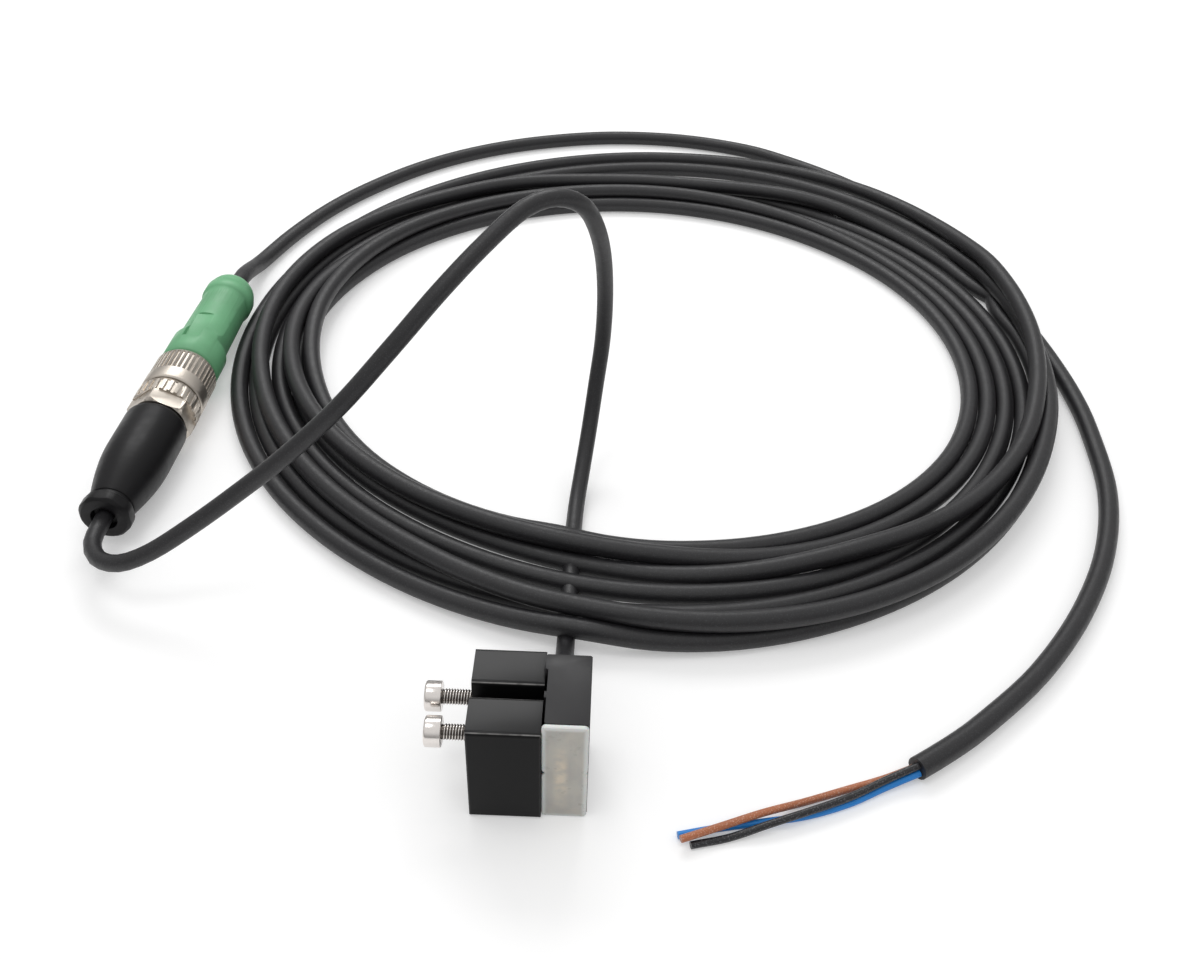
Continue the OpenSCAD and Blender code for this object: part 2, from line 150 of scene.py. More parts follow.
def spread(tree, value, low, high, start=0.0, end=1.0, kind="LINEAR"):
    """Carries value from low..high over to start..end."""
    over = add(tree, "ShaderNodeMapRange", Value=value, From_Min=low, From_Max=high,
               To_Min=start, To_Max=end)
    over.interpolation_type = kind
    return over.outputs["Result"]


def pattern(tree, scale, detail=3.0, stretch=(1, 1, 1)):
    """A noise with scale features a metre, drawn out where stretch is small."""
    place = add(tree, "ShaderNodeTexCoord")
    mapping = add(tree, "ShaderNodeMapping", Vector=place.outputs["Object"], Scale=stretch)
    noise = add(tree, "ShaderNodeTexNoise", Vector=mapping.outputs["Vector"], Scale=scale,
                Detail=detail)
    return noise.outputs["Fac"]


def object_place(tree):
    """The object's own x, y and z, in metres."""
    place = add(tree, "ShaderNodeTexCoord")
    return add(tree, "ShaderNodeSeparateXYZ", Vector=place.outputs["Object"]).outputs


def within(tree, value, low, high, soft):
    """1 between low and high, in millimetres, with a soft edge."""
    rise = spread(tree, value, (low - soft) * MM, (low + soft) * MM, 0, 1, "SMOOTHSTEP")
    fall = spread(tree, value, (high - soft) * MM, (high + soft) * MM, 1, 0, "SMOOTHSTEP")
    return combine(tree, "MULTIPLY", rise, fall)


def near_edge(tree, value, low, high, width):
    """1 at low and high, in millimetres, and 0 from width inside them."""
    from_low = combine(tree, "SUBTRACT", value, low * MM)
    from_high = combine(tree, "SUBTRACT", high * MM, value)
    nearest = combine(tree, "MINIMUM", from_low, from_high)
    return spread(tree, nearest, 0.25 * width * MM, width * MM, 1, 0, "SMOOTHSTEP")


# Finishes. Each is a material of the record's slot, with patterns on the object itself.

def start_finish(name, base, roughness, **sockets):
    """A new material. What is the same all over is set on the shader's own sockets."""
    material = bpy.data.materials.new(name)
    material.use_nodes = True
    tree = material.node_tree
    shader = tree.nodes["Principled BSDF"]
    for socket, value in dict(Base_Color=base, Roughness=roughness, **sockets).items():
        feed(tree, shader.inputs[socket.replace("_", " ")], value)
    return material, tree, shader


def tinted(base, amount):
    """A colour made darker, or lighter where amount is above 1."""
    return tuple(min(1, c * amount) for c in base)


def cloud(tree, shader, base, scale, depth, low=0.35, high=0.65, specks=None):
    """Uneven colour, lighter and darker than base by depth, with fine pale specks."""
    strength = spread(tree, pattern(tree, scale, detail=4), low, high)
    colour = blend(tree, strength, tinted(base, 1 - depth), tinted(base, 1 + depth))
    if specks:
        grains = spread(tree, pattern(tree, scale=3600, detail=1), low=0.56, high=0.74)
        colour = blend(tree, grains, colour, specks)
    tree.links.new(colour, shader.inputs["Base Color"])


def rough_between(tree, shader, strength, smoothest, roughest):
    """Uneven gloss that follows a pattern."""
    roughness = spread(tree, strength, 0.3, 0.7, smoothest, roughest)
    tree.links.new(roughness, shader.inputs["Roughness"])


def raise_by(tree, shader, *layers):
    """Bumps one above the other, each a pattern, its height in metres and its strength."""
    last = None
    for height, distance, strength in layers:
        bump = add(tree, "ShaderNodeBump", Height=height, Distance=distance,
                   Strength=strength)
        if last:
            tree.links.new(last.outputs["Normal"], bump.inputs["Normal"])
        last = bump
    tree.links.new(last.outputs["Normal"], shader.inputs["Normal"])


def moulded(name, base, roughness, grain=4000, height=0.00002, specks=None, **sockets):
    """Moulded plastic or rubber: fine grain, faint clouding and slightly uneven gloss."""
    material, tree, shader = start_finish(name, base, roughness, **sockets)
    cloud(tree, shader, base, scale=90, depth=0.1, specks=specks)
    rough_between(tree, shader, pattern(tree, scale=400, detail=5),
                  roughness - 0.05, roughness + 0.05)
    raise_by(tree, shader, (pattern(tree, grain, detail=2), height, 0.35))
    return material


def machined(name, base, roughness, stretch, scale=9000, height=0.00001):
    """Bare or plated metal with fine tool marks along one direction."""
    material, tree, shader = start_finish(name, base, roughness, Metallic=1.0)
    marks = pattern(tree, scale, 3, stretch)
    cloud(tree, shader, base, scale=120, depth=0.06)
    rough_between(tree, shader, marks, roughness - 0.04, roughness + 0.06)
    raise_by(tree, shader, (marks, height, 0.2))
    return material


def insulation(name, base, height=0.00004, specks=None, **sockets):
    """The thin, glossier plastic round a conductor."""
    return moulded(name, base, 0.36, 4200, height, specks, **sockets)


def anodised_block():
    """Black anodising: matte on its sides and smoother on the milled tops. The tops are
    painted paler, and their rounded edges carry painted highlight lines, both standing in
    for the light they catch."""
    # painted light: top is paler than side to stand in for the light the milled tops catch
    # from above
    side, top, painted_highlight = (0.0042, 0.0042, 0.0045), (0.021, 0.021, 0.0215), (0.26, 0.255, 0.25)
    # painted highlight: pale lines along the rounded edges of the tops, at the block's front
    # and back and on both sides of the slot
    painted_highlight_places = (BLOCK_D / 2 - 0.3, SLOT_W / 2 + 0.27)
    painted_highlight_reach, soft = 0.08, 0.06
    material, tree, shader = start_finish("block_anodised", side, 0.4,
                                          Specular_IOR_Level=0.14)
    _, y, z = object_place(tree)
    from_middle = combine(tree, "ABSOLUTE", y)
    outer, inner = (within(tree, from_middle, at - painted_highlight_reach, at + painted_highlight_reach, soft)
                    for at in painted_highlight_places)
    near_top = spread(tree, z, (BLOCK_H - 0.7) * MM, (BLOCK_H - 0.5) * MM)
    # the painted highlight lines, only at the top and unevenly strong
    painted_highlight_mask = combine(tree, "MULTIPLY", combine(tree, "MAXIMUM", outer, inner), near_top)
    painted_highlight_mask = combine(tree, "MULTIPLY", painted_highlight_mask,
                   spread(tree, pattern(tree, scale=700, detail=2), 0.3, 0.6, 0.5, 1))
    on_top = spread(tree, z, (BLOCK_H - 0.2) * MM, (BLOCK_H - 0.02) * MM)
    uneven = blend(tree, pattern(tree, scale=160, detail=4), tinted(top, 0.9),
                   tinted(top, 1.1))
    # base colour: the sides' own black, the painted paler tops and the painted highlight
    # lines
    tree.links.new(blend(tree, painted_highlight_mask, blend(tree, on_top, side, uneven), painted_highlight),
                   shader.inputs["Base Color"])
    tree.links.new(spread(tree, on_top, 0, 1, 0.45, 0.2), shader.inputs["Roughness"])
    milling = pattern(tree, scale=1, detail=2, stretch=(5000, 20, 20))
    milled = combine(tree, "MULTIPLY", on_top, spread(tree, y, 0, 9 * MM, 0.2, 1))
    raise_by(tree, shader, (combine(tree, "MULTIPLY", milling, milled), 0.000012, 0.3))
    return material


def screw_steel():
    """Turned stainless steel, with painted shade making the grooves of the threads darker
    than their crests.
    """
    base, painted_groove_shade = (0.74, 0.70, 0.67), (0.14, 0.125, 0.11)
    groove_r, crest_r = CORE_D / 2 + 0.045, SCREW_D / 2 - 0.05
    material, tree, shader = start_finish("screw_steel", base, 0.2, Metallic=1.0)
    _, y, z = object_place(tree)
    across = combine(tree, "SUBTRACT", combine(tree, "ABSOLUTE", y), SCREWS_APART / 2 * MM)
    above = combine(tree, "SUBTRACT", z, SCREW_Z * MM)
    from_axis = combine(tree, "POWER", combine(
        tree, "ADD", combine(tree, "MULTIPLY", across, across),
        combine(tree, "MULTIPLY", above, above)), 0.5)
    # painted shade: dark in the thread's grooves, fading out towards its crests
    in_groove = spread(tree, from_axis, groove_r * MM, crest_r * MM, 1, 0)
    uneven = blend(tree, pattern(tree, scale=120, detail=4), tinted(base, 0.94),
                   tinted(base, 1.06))
    tree.links.new(blend(tree, in_groove, uneven, painted_groove_shade), shader.inputs["Base Color"])
    marks = pattern(tree, scale=9000, detail=3, stretch=(1, 0.04, 0.04))
    rough_between(tree, shader, marks, 0.16, 0.25)
    raise_by(tree, shader, (marks, 0.00001, 0.2))
    return material


def cable_jacket():
    """Matte polyurethane with a fine grain."""
    base, specks = (0.0125, 0.012, 0.0135), (0.031, 0.031, 0.034)
    material, tree, shader = start_finish("cable_jacket", base, 0.44)
    cloud(tree, shader, base, 60, 0.14, 0.3, 0.7, specks)
    rough_between(tree, shader, pattern(tree, scale=700, detail=4), 0.4, 0.5)
    raise_by(tree, shader, (pattern(tree, scale=3000, detail=3), 0.00006, 0.5),
             (pattern(tree, scale=900, detail=2), 0.00003, 0.15))
    return material


def window_plastic():
    """Milky plastic: pale along its rim, and the pale row of lamps shows through it."""
    body, rim, lamps, gap = ((0.52, 0.5, 0.45), (0.7, 0.72, 0.7), (0.70, 0.62, 0.5),
                             (0.4, 0.39, 0.37))
    rim_w = 1.1
    lamps_x, lamps_z, brightest_z = (8.9, 11), (2.6, 19.4), (8, 15.5)
    material, tree, shader = start_finish(
        "window_plastic", body, 0.32, IOR=1.46, Subsurface_Weight=0.15,
        Subsurface_Scale=0.001)
    x, _, z = object_place(tree)
    shade = spread(tree, pattern(tree, 330, 3, stretch=(1, 1, 0.6)), 0.4, 0.62)
    inside = blend(tree, combine(tree, "MULTIPLY", shade, 0.55), body, gap)
    column = combine(tree, "MULTIPLY", within(tree, x, *lamps_x, soft=0.7),
                     within(tree, z, *lamps_z, soft=1.2))
    patches = spread(tree, pattern(tree, 420, 2, stretch=(1, 1, 1.5)), 0.38, 0.6, 0.35, 1)
    bright = spread(tree, within(tree, z, *brightest_z, soft=2), 0, 1, 0.45, 1)
    column = combine(tree, "MULTIPLY", column, combine(tree, "MULTIPLY", patches, bright))
    inside = blend(tree, column, inside, lamps)
    border = combine(tree, "MAXIMUM", near_edge(tree, x, *WINDOW_X, rim_w),
                     near_edge(tree, z, 0, WINDOW_TOP, rim_w))
    tree.links.new(blend(tree, border, inside, rim), shader.inputs["Base Color"])
    rough_between(tree, shader, pattern(tree, scale=500, detail=3), 0.26, 0.38)
    raise_by(tree, shader, (pattern(tree, scale=2500, detail=2), 0.00001, 0.2))
    return material


def board_laminate():
    """Green solder mask over the weave of glass laminate."""
    base = (0.12, 0.26, 0.15)
    material, tree, shader = start_finish("board_laminate", base, 0.4, Coat_Weight=0.3)
    cloud(tree, shader, base, scale=700, depth=0.25)
    weave = pattern(tree, scale=3000, detail=2, stretch=(1, 1, 6))
    rough_between(tree, shader, weave, 0.32, 0.48)
    raise_by(tree, shader, (weave, 0.00001, 0.3))
    return material


FINISHES = {
    "block_anodised": anodised_block(),
    "screw_steel": screw_steel(),
    "housing_plastic": moulded("housing_plastic", (0.026, 0.0255, 0.027), 0.4, 6500,
                               Specular_IOR_Level=0.35),
    "window_plastic": window_plastic(),
    "board_laminate": board_laminate(),
    "led_plastic": moulded("led_plastic", (0.90, 0.70, 0.40), 0.3, 2500, 0.00001,
                           Transmission_Weight=0.3),
    "chip_plastic": moulded("chip_plastic", (0.03, 0.03, 0.032), 0.5, 7000),
    "electrode_copper": machined("electrode_copper", (0.72, 0.43, 0.25), 0.3, (0.1, 1, 0.1)),
    "insert_brass": machined("insert_brass", (0.74, 0.60, 0.32), 0.3, (1, 0.05, 0.05)),
    "grommet_rubber": moulded("grommet_rubber", (0.02, 0.02, 0.021), 0.6, 3500, 0.00003),
    "cable_jacket": cable_jacket(),
    "plug_moulding": moulded("plug_moulding", (0.0055, 0.0052, 0.006), 0.4, 2600, 0.00003,
                             Specular_IOR_Level=0.22),
    "ring_nickel": machined("ring_nickel", (0.58, 0.53, 0.47), 0.38, (1, 0.3, 1), 5000),
    "carrier_plastic": moulded("carrier_plastic", (0.03, 0.03, 0.032), 0.4),
    "contact_gold": machined("contact_gold", (0.83, 0.66, 0.30), 0.2, (1, 0.1, 1)),
    "seal_rubber": moulded("seal_rubber", (0.03, 0.03, 0.03), 0.45),
    "grip_green": moulded("grip_green", (0.155, 0.425, 0.215), 0.45, 2600, 0.00004),
    "wire_brown": insulation("wire_brown", (0.43, 0.15, 0.07), specks=(0.6, 0.36, 0.27),
                             Specular_IOR_Level=0.35),
    "wire_black": insulation("wire_black", (0.008, 0.008, 0.01), 0.00005,
                             (0.10, 0.10, 0.11)),
    "wire_blue": insulation("wire_blue", (0.02, 0.23, 0.66), Specular_IOR_Level=0.35),
}
NODE_FINISH = {part["node"]: part["material_slot"] for part in frame["record"]["subparts"]}


def give_finishes():
    """Every CAD node gets the finish of its slot in the record."""
    for node, finish_name in NODE_FINISH.items():
        mesh = node_objects[node].data
        mesh.materials.clear()
        mesh.materials.append(FINISHES[finish_name])


give_finishes()


# Cords. Routes are in millimetres, as in the part's source.

SENSOR_ROUTE = [
    (9.1, 7, 11.9), (9.1, 11, 11.9), (9.1, 16, 10.8), (9.1, 21, 7.4), (9.1, 26, 3.8),
    (9.1, 32, 1.9), (9.2, 46, 1.9), (9.2, 62, 1.9), (9.5, 73, 2.2), (10.4, 82, 5),
    (11.6, 90, 11), (12.8, 95.6, 20), (14, 98.8, 31), (14.2, 98, 43), (13.5, 94, 55),
    (11.8, 88.6, 65), (9, 84, 72), (4, 80.8, 75), (-2, 77.6, 74), (-9, 70.6, 70),
    (-17, 62.2, 64), (-26, 55.6, 55), (-36, 50.4, 44.6), (-47, 47.4, 34.4),
    (-57, 45.8, 26), (-67, 43.4, 18.6), (-76, 41.2, 12.8), (-83, 40.6, 9.8),
    (-88.6, 43.4, 8.4), (-91.6, 48.6, 7.8), (-91.9, 54, 7.75), (-91.8, 58.2, 7.75)]
LEAD_ROUTE = [
    (-88.85, 150.1, 7.75), (-88.7, 156, 7.75), (-88.6, 161, 7.2), (-88.6, 167, 5.6),
    (-87.8, 177, 2.9), (-82.6, 195, 2.3), (-74.6, 213, 2.3), (-63.6, 230, 2.3),
    (-49, 246.6, 2.3), (-31, 260.4, 2.3), (-10, 270.4, 2.3), (14, 276.4, 2.3),
    (39, 276.2, 2.3), (63, 269.6, 2.3), (82.5, 257, 2.3), (98, 241.5, 2.3),
    (110.3, 223.3, 2.3), (118.5, 204, 2.3), (125, 184.5, 2.3), (129.5, 162, 2.3)]
TAIL_ROUTE = [
    (132.2, 167, 2.3), (136, 149.5, 2.3), (138, 130, 2.3), (138.2, 110, 2.3),
    (135.2, 86, 2.3), (128.2, 64.4, 2.3), (117.4, 44.8, 2.3), (104, 27.4, 2.3),
    (90, 14, 2.3), (82, 7.6, 2.3), (75.2, 2.9, 2.3)]
BLACK_ROUTE = [
    (75.2, 2.9, 3.1), (69, 0, 2.4), (62, -3.8, 2.1), (54, -7.3, 2.1),
    (47, -10, 1.8), (40, -12.3, 0.7), (33, -14.2, 0.7)]
BLUE_ROUTE = [
    (75.6, 2.3, 1.8), (69, -0.6, 1), (62, -4.2, 0.7), (54, -7.2, 0.7),
    (46, -8.9, 0.7), (38, -10.5, 0.7), (30.8, -12.3, 0.7)]
BROWN_ROUTE = [
    (74.8, 3.5, 1.8), (69, 1.2, 1.1), (62, -1.2, 0.7), (54, -4.3, 0.8),
    (46, -7.9, 2.1), (38, -11.2, 2.1), (31.2, -14, 2.1)]

# The coil's seven turns, each from the right clockwise in steps of 30 degrees: how far
# the cable is from the coil's middle, and which layer it lies in, 0 on the floor.
COIL_AT = (26.5, 139.5)
KEY_DEGREES = 30
TURN_RADII = [
    (102.6, 103.6, 106.4, 108, 106.2, 108.2, 107.4, 109, 114, 121, 125.6, 108.6),
    (102.2, 99.8, 94, 86.6, 85.9, 91.3, 94.5, 91, 87, 85.7, 85.2, 85.2),
    (85.6, 85.6, 82, 80.2, 81.4, 86.8, 92, 92.5, 90, 87.7, 87.3, 89.2),
    (90.1, 90, 87.2, 83.8, 86, 91, 96.3, 95.5, 94, 92.5, 92, 93.8),
    (94.5, 93.9, 95, 93.9, 92.4, 95.9, 98.5, 98.5, 98.5, 99, 99, 98.4),
    (99, 98.8, 100.4, 99.8, 101.2, 103.4, 103.2, 104, 106.5, 112.5, 118, 108.2),
    (103, 104, 108.2, 106.6, 99.8, 100.4, 103.4, 105.4, 98.9, 93.6, 98.6, 106)]
TURN_LAYERS = [
    (0, 0, 0, 0, 0, 0, 0, 0, 0, 0.4, 1, 1.4),
    (2, 1.8, 1.2, 0, 0, 0, 0, 0, 0, 0, 0, 0),
    (0, 0, 0, 0, 0, 0, 0, 0.9, 1, 1, 1, 0.8),
    (0, 0.2, 1, 1, 1, 1, 1, 0.3, 0, 0, 0, 0),
    (0, 0, 0, 0, 0, 0, 0, 0, 0, 0, 0, 0),
    (0, 0, 0, 0, 0, 0.2, 0.9, 0.5, 0, 0, 0.1, 0.9),
    (1, 1, 1, 1, 1, 1, 1, 1, 1, 1, 1, 1)]
TURNS = len(TURN_RADII)
LAST_ANGLE = 360.0 * TURNS
STEPS_A_TURN = 48
LAYER_H = 4.2

# The lead's last points run beside the coil, and the tail comes down from its upper layer
# to the fifth point of its own route. Past these angles they give the cable's place.
LEAD_END = LEAD_ROUTE[-7:]
LEAD_UNTIL = -7
TAIL_AFTER = 33 - LAST_ANGLE
TAIL_TOP = 6.4
TAIL_FROM = 4
TAIL_START = [(128.6, 165.2, 4.5), (132, 148.8, 2.3), (135.4, 129.6, 2.3),
              *TAIL_ROUTE[TAIL_FROM - 1:TAIL_FROM + 1]]

# The turns settle in small steps, and lie over the sensor's cable, which runs straight
# under the coil's front.
PLAN_ROUNDS = 4
SETTLING_STEPS = 500
PRESSING_ROUNDS = 3
SMOOTHING = 0.35
SINKING = 0.05
HOLDING = 0.12
TURN_SPACING = EXT_D * 1.005
CROSSED_X = 9.2
CROSSED_Z = CABLE_D / 2
CROSSING_REACH = (EXT_D + CABLE_D) / 2


def spline_value(keys, at):
    """A smooth curve through evenly spaced values, read at the places in at."""
    keys = np.asarray(keys, float)
    before = np.clip(np.floor(at).astype(int), 0, len(keys) - 2)
    t = at - before
    a, b, c, d = (keys[np.clip(before + k, 0, len(keys) - 1)] for k in (-1, 0, 1, 2))
    return b + t * ((c - a) / 2 + t * (a - 2.5 * b + 2 * c - 0.5 * d
                                       + t * (1.5 * (b - c) + (d - a) / 2)))


def smooth_route(points, spacing):
    """Points about as far apart as spacing, on a smooth curve through the given ones."""
    points = np.asarray(points, float)
    chords = np.linalg.norm(np.diff(points, axis=0), axis=1)
    at = []
    for i, chord in enumerate(chords):
        steps = max(1, round(chord / spacing))
        at += [i + k / steps for k in range(steps)]
    at = np.array(at + [len(points) - 1.0])
    doubled = np.vstack([2 * points[0] - points[1], points, 2 * points[-1] - points[-2]])
    return np.stack([spline_value(doubled[:, k], at + 1) for k in range(3)], axis=1)


def around_coil(points):
    """Angle in degrees, radius and height of points, seen from the coil's middle."""
    p = np.asarray(points, float)
    x, y = p[:, 0] - COIL_AT[0], p[:, 1] - COIL_AT[1]
    return np.degrees(np.arctan2(y, x)), np.hypot(x, y), p[:, 2]


def planned_coil(angle):
    """The cable's radius and height at each angle, as the turns, the end of the lead and
    the start of the tail give them."""
    radii, layers = sum(TURN_RADII, ()), sum(TURN_LAYERS, ())
    at = np.clip(-angle / KEY_DEGREES, 0, len(radii) - 1.001)
    radius = spline_value(radii, at)
    height = EXT_D / 2 + LAYER_H * spline_value(layers, at)
    a, r, h = around_coil(LEAD_END)
    lead = np.append(a, -KEY_DEGREES), np.append(r, radii[1]), np.append(h, EXT_D / 2)
    a, r, h = around_coil(TAIL_START)
    tail = (np.append([2 * KEY_DEGREES, KEY_DEGREES], a) - LAST_ANGLE,
            np.append(radii[-2:], r), np.append([TAIL_TOP, TAIL_TOP], h))
    for (a, r, h), where in ((lead, angle > LEAD_UNTIL), (tail, angle < TAIL_AFTER)):
        radius[where] = np.interp(-angle[where], -a, r)
        height[where] = np.interp(-angle[where], -a, h)
    for _ in range(PLAN_ROUNDS):
        radius[1:-1] = (radius[:-2] + 2 * radius[1:-1] + radius[2:]) / 4
    return radius, height


def press_apart(radius, height):
    """Moves each two turns that lie too close at one angle half the way each."""
    for turn in range(1, TURNS + 1):
        s = turn * STEPS_A_TURN
        out, up = radius[s:] - radius[:-s], height[s:] - height[:-s]
        apart = np.hypot(out, up) + 1e-9
        push = np.clip(TURN_SPACING - apart, 0, None) / 2 / apart
        radius[s:] += push * out
        radius[:-s] -= push * out
        height[s:] += push * up
        height[:-s] -= push * up


def lay_the_coil():
    """Lets the turns of the coil settle on the floor, on each other and over the sensor's
    cable, and returns the points that the cable goes through, from lead to tail."""
    angle = -np.arange(-10, TURNS * STEPS_A_TURN + 5) * 360 / STEPS_A_TURN
    cos, sin = np.cos(np.radians(angle)), np.sin(np.radians(angle))
    radius, height = planned_coil(angle)
    wanted = radius.copy()
    for _ in range(SETTLING_STEPS):
        height[1:-1] += SMOOTHING * ((height[:-2] + height[2:]) / 2 - height[1:-1]) - SINKING
        radius[1:-1] += SMOOTHING * ((radius[:-2] + radius[2:]) / 2 - radius[1:-1])
        radius += HOLDING * (wanted - radius)
        for _ in range(PRESSING_ROUNDS):
            press_apart(radius, height)
            across = COIL_AT[0] + radius * cos - CROSSED_X
            crossing = (sin < 0) & (np.abs(across) < CROSSING_REACH)
            hump = CROSSED_Z + np.sqrt(np.clip(CROSSING_REACH ** 2 - across ** 2, 0, None))
            height = np.maximum(height, np.where(crossing, hump, EXT_D / 2))
    return np.stack([COIL_AT[0] + radius * cos, COIL_AT[1] + radius * sin, height], axis=1)


def cord_curve(name, points, diameter, finish_name, *nodes):
    """A round cord along points in millimetres, which stands for the CAD's solids."""
    data = bpy.data.curves.new(name, "CURVE")
    data.dimensions = "3D"
    data.bevel_depth = diameter / 2 * MM
    data.bevel_resolution = 6
    data.use_fill_caps = True
    spline = data.splines.new("POLY")
    spline.points.add(len(points) - 1)
    for point, place in zip(spline.points, points):
        point.co = (*(Vector(place) * MM), 1)
    data.materials.append(FINISHES[finish_name])
    obj = bpy.data.objects.new(name, data)
    bpy.context.scene.collection.objects.link(obj)
    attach(obj, "root")
    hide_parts(*nodes)
    return obj


# Finished forms of the CAD's hard pieces

def adopt(obj, node):
    """Puts a finished piece in the place of its CAD node."""
    obj.data.materials.clear()
    obj.data.materials.append(FINISHES[NODE_FINISH[node]])
    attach(obj, "root")
    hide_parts(node)


def freeze(obj):
    """Turns an object's modifiers into its mesh."""
    evaluated = obj.evaluated_get(bpy.context.evaluated_depsgraph_get())
    mesh = bpy.data.meshes.new_from_object(evaluated)
    obj.modifiers.clear()
    obj.data = mesh


def smooth_up_to(mesh, degrees):
    """Shades a mesh smooth, apart from edges sharper than so many degrees."""
    for polygon in mesh.polygons:
        polygon.use_smooth = True
    mesh.set_sharp_from_angle(angle=math.radians(degrees))


def soften_edges(node, width, segments=2, flat_up_to=32):
    """The node's own form with its sharp edges rounded by width, in millimetres."""
    mesh = bpy.data.meshes.new(node + "_finished")
    bm = bmesh.new()
    bm.from_mesh(node_objects[node].data)
    bmesh.ops.remove_doubles(bm, verts=bm.verts, dist=0.002 * MM)
    bmesh.ops.dissolve_limit(bm, angle_limit=math.radians(0.6), verts=bm.verts,
                             edges=bm.edges)
    bm.to_mesh(mesh)
    bm.free()
    obj = bpy.data.objects.new(node + "_finished", mesh)
    bpy.context.scene.collection.objects.link(obj)
    bevel = obj.modifiers.new("rounding", "BEVEL")
    bevel.width = width * MM
    bevel.segments = segments
    bevel.limit_method = "ANGLE"
    bevel.angle_limit = math.radians(flat_up_to)
    bevel.harden_normals = False
    freeze(obj)
    smooth_up_to(obj.data, flat_up_to)
    adopt(obj, node)


# Clamp screws

SCREW_SIDES = 48
POINT_R = 0.02
SMOOTH_UP_TO = 35


def circle(radius):
    """A round outline: the same reach at every angle."""
    return lambda angle: radius


def socket_hexagon(angle):
    """How far the flats of the key's socket are from the screw's axis."""
    return SOCKET_FLATS / 2 / math.cos((angle % (math.pi / 3)) - math.pi / 6)


def screw_outlines():
    """The screw's outlines along its axis, from the bottom of its socket round to its tip,
    each a place along the axis and how far the outline reaches at an angle."""
    rim, tip, drill_point, mouth, neck = 0.45, 0.3, 0.35, 0.12, 0.2
    edge_start, edge_middle = 0.18, 0.05
    head_r, core_r = HEAD_D / 2, CORE_D / 2
    corner_r = SOCKET_FLATS / 2 / math.cos(math.pi / 6)
    outlines = [(SOCKET_DEPTH - HEAD_H + drill_point, circle(POINT_R)),
                (SOCKET_DEPTH - HEAD_H, socket_hexagon),
                (mouth - HEAD_H, socket_hexagon),
                (-HEAD_H, circle(corner_r + mouth))]
    for degrees in range(0, 91, 15):
        a = math.radians(degrees)
        outlines.append((rim * (1 - math.cos(a)) - HEAD_H,
                         circle(head_r - rim + rim * math.sin(a))))
    outlines += [(-edge_start, circle(head_r)), (-edge_middle, circle(head_r - edge_middle)),
                 (0, circle(head_r - edge_start)), (0, circle(core_r + neck)),
                 (neck, circle(core_r)), (SCREW_LEN - tip, circle(core_r)),
                 (SCREW_LEN, circle(core_r - tip)), (SCREW_LEN, circle(POINT_R))]
    return outlines


def screw_blank():
    """A socket-head screw before its thread is cut, along +X, with the underside of its
    head at the origin."""
    bm = bmesh.new()
    rings = []
    for x, reach in screw_outlines():
        ring = []
        for k in range(SCREW_SIDES):
            angle = 2 * math.pi * k / SCREW_SIDES
            r = reach(angle)
            place = Vector((x, r * math.cos(angle), r * math.sin(angle)))
            ring.append(bm.verts.new(place * MM))
        rings.append(ring)
    for one, other in zip(rings, rings[1:]):
        for k in range(SCREW_SIDES):
            j = (k + 1) % SCREW_SIDES
            bm.faces.new((one[k], one[j], other[j], other[k]))
    bm.faces.new(rings[0])
    bm.faces.new(reversed(rings[-1]))
    bmesh.ops.recalc_face_normals(bm, faces=bm.faces)
    mesh = bpy.data.meshes.new("clamp_screws_turned")
    bm.to_mesh(mesh)
    bm.free()
    smooth_up_to(mesh, SMOOTH_UP_TO)
    return mesh


def new_tree(name, *sizes):
    """An empty node tree with a geometry in and out and named sizes in metres."""
    tree = bpy.data.node_groups.new(name, "GeometryNodeTree")
    face = tree.interface
    face.new_socket("Geometry", in_out="INPUT", socket_type="NodeSocketGeometry")
    sockets = {size: face.new_socket(size, in_out="INPUT", socket_type="NodeSocketFloat")
               for size in sizes}
    face.new_socket("Geometry", in_out="OUTPUT", socket_type="NodeSocketGeometry")
    return tree, sockets, tree.nodes.new("NodeGroupInput"), tree.nodes.new("NodeGroupOutput")


def wound_ridge(tree, given):
    """The thread's ridge, a flat diamond wound along +X, sunk a little into the blank."""
    sunk, half_width = 0.02 * MM, 0.47
    got = given.outputs
    ridge_h = combine(tree, "SUBTRACT", got["Outer radius"], got["Core radius"])
    middle = combine(tree, "SUBTRACT", got["Core radius"], sunk)
    turns = combine(tree, "DIVIDE", got["Length"], got["Pitch"])
    spiral = add(tree, "GeometryNodeCurveSpiral", Resolution=24, Rotations=turns,
                 Start_Radius=middle, End_Radius=middle, Height=got["Length"])
    upright = add(tree, "GeometryNodeSetCurveNormal", Curve=spiral.outputs["Curve"])
    upright.mode = "Z_UP"
    diamond = add(tree, "GeometryNodeCurvePrimitiveCircle", Resolution=4, Radius=1)
    size = add(tree, "ShaderNodeCombineXYZ", X=combine(tree, "ADD", ridge_h, sunk),
               Y=combine(tree, "MULTIPLY", got["Pitch"], half_width))
    flat = add(tree, "GeometryNodeTransform", Geometry=diamond.outputs["Curve"],
               Scale=size.outputs["Vector"])
    wound = add(tree, "GeometryNodeCurveToMesh", Curve=upright.outputs["Curve"],
                Profile_Curve=flat.outputs["Geometry"], Fill_Caps=True)
    start = add(tree, "ShaderNodeCombineXYZ", X=got["Start"])
    return add(tree, "GeometryNodeTransform", Geometry=wound.outputs["Mesh"],
               Translation=start.outputs["Vector"], Rotation=(0, math.pi / 2, 0))


